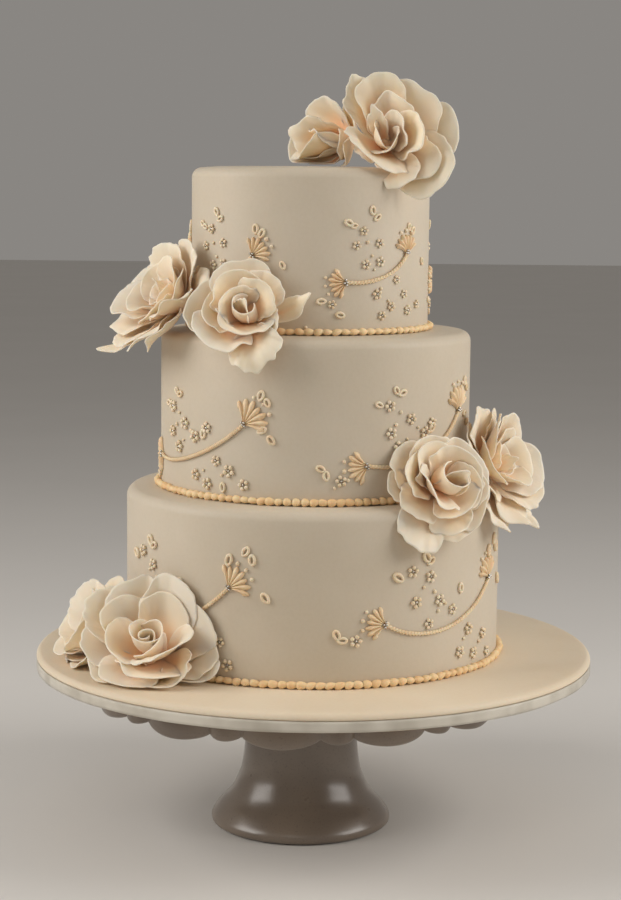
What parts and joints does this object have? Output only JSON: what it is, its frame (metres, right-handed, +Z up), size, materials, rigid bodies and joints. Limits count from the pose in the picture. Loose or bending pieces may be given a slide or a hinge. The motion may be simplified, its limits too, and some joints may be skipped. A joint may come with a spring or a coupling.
{
  "type": "tiered wedding cake",
  "caption": "Three-tier round wedding cake in ivory icing with sugar roses and piped sprays, on a ribboned board and a porcelain pedestal stand.",
  "frame": {"origin": "centre of the board, at the height of the stand's resting edge: the middle of the object's base", "axes": "+Z up, -Y to the front of the cake, +X to its right"},
  "size_m": [0.4334, 0.4334, 0.5839],
  "materials": {
    "porcelain": "glossy warm grey-cream glaze",
    "board_fondant": "smooth rolled icing, satin",
    "satin_ribbon": "white satin",
    "fondant": "smooth ivory rolled icing, satin",
    "royal_icing": "piped apricot-cream icing, matt",
    "sugar_petal": "thin ivory sugar paste with blush bases, matt",
    "silver_dragee": "silver-coated sugar beads"
  },
  "bodies": {
    "root": {"stand": "porcelain", "board": "board_fondant", "board_ribbon": "satin_ribbon", "tier_bottom": "fondant", "tier_middle": "fondant", "tier_top": "fondant", "pearl_border_bottom": "royal_icing", "pearl_border_middle": "royal_icing", "pearl_border_top": "royal_icing", "spray_bottom_1": "royal_icing", "spray_bottom_2": "royal_icing", "spray_bottom_3": "royal_icing", "spray_bottom_4": "royal_icing", "spray_middle_1": "royal_icing", "spray_middle_2": "royal_icing", "spray_middle_3": "royal_icing", "spray_middle_4": "royal_icing", "spray_top_1": "royal_icing", "spray_top_2": "royal_icing", "spray_top_3": "royal_icing", "spray_top_4": "royal_icing", "spray_top_5": "royal_icing", "rose_top_right": "sugar_petal", "rose_top_left": "sugar_petal", "rose_middle_front": "sugar_petal", "rose_middle_left": "sugar_petal", "rose_lower_front": "sugar_petal", "rose_lower_right": "sugar_petal", "rose_board_front": "sugar_petal", "rose_board_side": "sugar_petal"}
  },
  "joints": []
}
